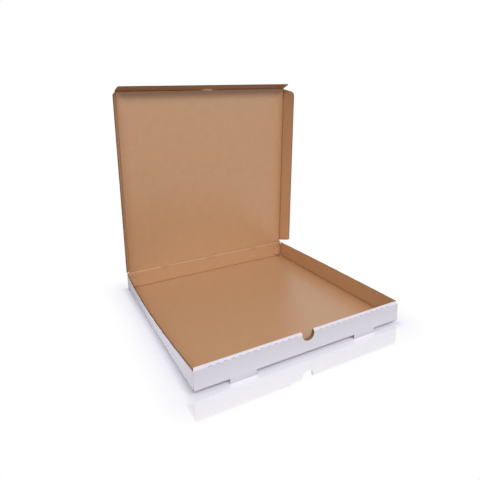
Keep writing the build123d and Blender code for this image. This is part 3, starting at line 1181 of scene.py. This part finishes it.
hinge_frame = plane_matrix(hinge_place, Vector((1, 0, 0)), Vector((0, 0, 1)), Vector((0, -1, 0)))
starts = [(-LID_HALF, 0.0)]
starts += [(x + TONGUE_HALF + TONGUE_SLIT, -TONGUE_SLANT) for x in TONGUE_PLACES]
ends = [(x - TONGUE_HALF - TONGUE_SLIT, TONGUE_SLANT) for x in TONGUE_PLACES]
ends += [(LID_HALF, 0.0)]
hinge_runs = [
    (start, end, start_slant, end_slant)
    for (start, start_slant), (end, end_slant) in zip(starts, ends)
]
crease(
    "hinge_crease", hinge_frame, lean, hinge_runs,
    HINGE_GROOVE, (HINGE_BAND, LID_BAND), valley_depth=HINGE_VALLEY, slanted="before",
)

# %% [markdown]
# The flaps' creases follow the slanted ends of the flaps. The front one has two runs, with the thumb
# tab's opening between them, and the side ones have one run each.

# %% The flaps' creases
FLAP_GROOVE = (1.78, 3.26)
FRONT_FLAP_WIDTH = 26.0
FRONT_SLANT = {-1: 0.5 / FRONT_FLAP_WIDTH, 1: 5.5 / FRONT_FLAP_WIDTH}
THUMB_SLIT = 0.4
THUMB_SLANT = 0.545
SIDE_FLAP_WIDTH = 29.2
REAR_SLANT = 9.0 / SIDE_FLAP_WIDTH
AHEAD_SLANT = {-1: 2.0 / SIDE_FLAP_WIDTH, 1: 5.0 / SIDE_FLAP_WIDTH}

front_crease_frame = plane_matrix(front_fold_place, lid_across, lid_up, lid_inward)
front_runs = [
    (-LID_HALF, -THUMB_HALF - THUMB_SLIT, FRONT_SLANT[-1], THUMB_SLANT),
    (THUMB_HALF + THUMB_SLIT, LID_HALF, -THUMB_SLANT, -FRONT_SLANT[1]),
]
crease(
    "front_flap_crease", front_crease_frame, FRONT_FOLD, front_runs,
    FLAP_GROOVE, (FRONT_BAND, FLAP_BAND),
)
for side, name in ((-1, "left"), (1, "right")):
    crease_end = hinge_place + lid_across * side * LID_HALF
    side_frame = plane_matrix(crease_end, lid_up * -side, lid_across * side, lid_inward)
    rear, ahead = SIDE_FLAP_REAR, LID_LENGTH - SIDE_FLAP_FRONT[side]
    if side > 0:
        run = (-ahead, -rear, AHEAD_SLANT[side], -REAR_SLANT)
    else:
        run = (rear, ahead, REAR_SLANT, -AHEAD_SLANT[side])
    crease(
        name + "_flap_crease", side_frame, SIDE_FOLD[side], [run],
        FLAP_GROOVE, (LID_BAND, FLAP_BAND),
    )

# %% [markdown]
# ## The floor
# The box stands on a pale glossy sheet, on its two feet and on its rear edge. So in the box's own frame
# the floor slopes by about one degree. Turning the box instead would take it out of the frame that it
# shares with its other models.

# %% The floor's sheet
FLOOR_SIZE = 12.0
FLOOR_DROP = 0.0001

floor_slope = atan2(-FEET_BOTTOM, HALF + base_end)
floor_grid = bmesh.new()
bmesh.ops.create_grid(floor_grid, x_segments=1, y_segments=1, size=FLOOR_SIZE / 2)
tilt = Matrix.Rotation(floor_slope, 3, "X")
bmesh.ops.rotate(floor_grid, cent=(0, 0, 0), matrix=tilt, verts=floor_grid.verts[:])
bmesh.ops.translate(floor_grid, vec=(0, base_end * MM, -FLOOR_DROP), verts=floor_grid.verts[:])
floor_mesh = bpy.data.meshes.new("floor")
floor_grid.to_mesh(floor_mesh)
floor_grid.free()
floor = bpy.data.objects.new("floor", floor_mesh)
bpy.context.scene.collection.objects.link(floor)
print("floor slopes", round(degrees(floor_slope), 2), "degrees")

# %% [markdown]
# In the picture the floor fades to white a few centimetres away from the box. A stronger lamp would
# whiten the box too, so the floor has a glow that only seen rays meet. It ends near the box, where the
# shadow stays. Both the glow and the mirror need to know how far a point is from the tray's footprint.

# %% Distances on the floor
floor_material, floor_tree, floor_shader = new_material("floor_sheet")
floor_tree.nodes.remove(floor_shader)
floor_mesh.materials.append(floor_material)


def ramp(value, start, end, low, high):
    """A smooth change on the floor, from low to high while a value goes from start to end."""
    inputs = {"Value": value, "From Min": start, "From Max": end, "To Min": low, "To Max": high}
    return add_node(floor_tree, "ShaderNodeMapRange", inputs, interpolation_type="SMOOTHSTEP").outputs[0]


def vector_maths(operation, *values):
    """One vector maths node on the floor, as its outputs."""
    return add_node(floor_tree, "ShaderNodeVectorMath", dict(enumerate(values)), operation=operation).outputs


footprint = (HALF * MM, HALF * MM, 1.0)
floor_place = add_node(floor_tree, "ShaderNodeTexCoord", {}).outputs["Object"]
past_walls = vector_maths("SUBTRACT", vector_maths("ABSOLUTE", floor_place)[0], footprint)[0]
distance = vector_maths("LENGTH", vector_maths("MAXIMUM", past_walls, (0.0, 0.0, 0.0))[0])["Value"]
floor_axes = add_node(floor_tree, "ShaderNodeSeparateXYZ", {"Vector": floor_place}).outputs
to_the_left = maths(floor_tree, "MULTIPLY", floor_axes["X"], -1.0)
to_the_front = maths(floor_tree, "MULTIPLY", floor_axes["Y"], -1.0)
print("footprint", [round(part, 4) for part in footprint[:2]], "m")

# %% The floor's glow
FLOOR_COLOUR = (0.93, 0.92, 1.0, 1.0)
FLOOR_BOUNCE = (0.16, 0.16, 0.16, 1.0)
# Painted shade: the glow's lavender tint right beside the box.
GLOW_SHADE_TINT = (0.95, 0.945, 1.0, 1.0)
GLOW_AT_BOX = 0.1
GLOW_NEAR = 0.72
GLOW_FAR_GAIN = 0.28
NEAR = 0.012
FAR = 0.05

floor_seen = seen_rays(floor_tree)
sheet_colour = shade_mix(floor_tree, floor_seen, FLOOR_BOUNCE, FLOOR_COLOUR)
dull = add_node(floor_tree, "ShaderNodeBsdfDiffuse", {"Color": sheet_colour})
near_glow = ramp(distance, 0.0, NEAR, GLOW_AT_BOX, GLOW_NEAR)
far_glow = ramp(distance, 0.0, FAR, 0.0, GLOW_FAR_GAIN)
# Near the box the glow is tinted lavender, a painted shade that fades to white at FAR.
glow_colour = shade_mix(floor_tree, ramp(distance, 0.0, FAR, 0.0, 1.0), GLOW_SHADE_TINT, PURE_WHITE)
glow = add_node(floor_tree, "ShaderNodeEmission", {"Color": glow_colour, "Strength": 1.0})
glow_share = maths(floor_tree, "MULTIPLY", floor_seen, maths(floor_tree, "ADD", near_glow, far_glow))
lit = add_node(
    floor_tree, "ShaderNodeMixShader", {0: glow_share, 1: dull.outputs[0], 2: glow.outputs[0]}
)
print("glow from", GLOW_AT_BOX, "at the box to", GLOW_NEAR + GLOW_FAR_GAIN, "at", FAR, "m")

# %% [markdown]
# The floor also mirrors the front wall, softly. A sheet that is glossy all over would mirror the brown
# lid as well, so the gloss is kept to a strip in front of the box.

# %% The floor's mirror
MIRROR_SHARE = 0.42
MIRROR_ROUGHNESS = 0.07
MIRROR_START = 0.014
MIRROR_END = (0.033, 0.040)
MIRROR_LEFT = (0.0105, 0.0150)

wall_face = HALF * MM
front_edge = [wall_face + part for part in MIRROR_END]
left_edge = [wall_face + part for part in MIRROR_LEFT]
mirror_zone = ramp(to_the_front, wall_face, wall_face + MIRROR_START, 0.0, MIRROR_SHARE)
for fade in (ramp(to_the_front, *front_edge, 1.0, 0.0), ramp(to_the_left, *left_edge, 1.0, 0.0)):
    mirror_zone = maths(floor_tree, "MULTIPLY", mirror_zone, fade)
mirror = add_node(
    floor_tree, "ShaderNodeBsdfGlossy", {"Color": PURE_WHITE, "Roughness": MIRROR_ROUGHNESS}
)
floor_mix = add_node(
    floor_tree, "ShaderNodeMixShader", {0: mirror_zone, 1: lit.outputs[0], 2: mirror.outputs[0]}
)
floor_output = floor_tree.nodes["Material Output"]
floor_tree.links.new(floor_mix.outputs[0], floor_output.inputs["Surface"])
print("mirror share", MIRROR_SHARE)
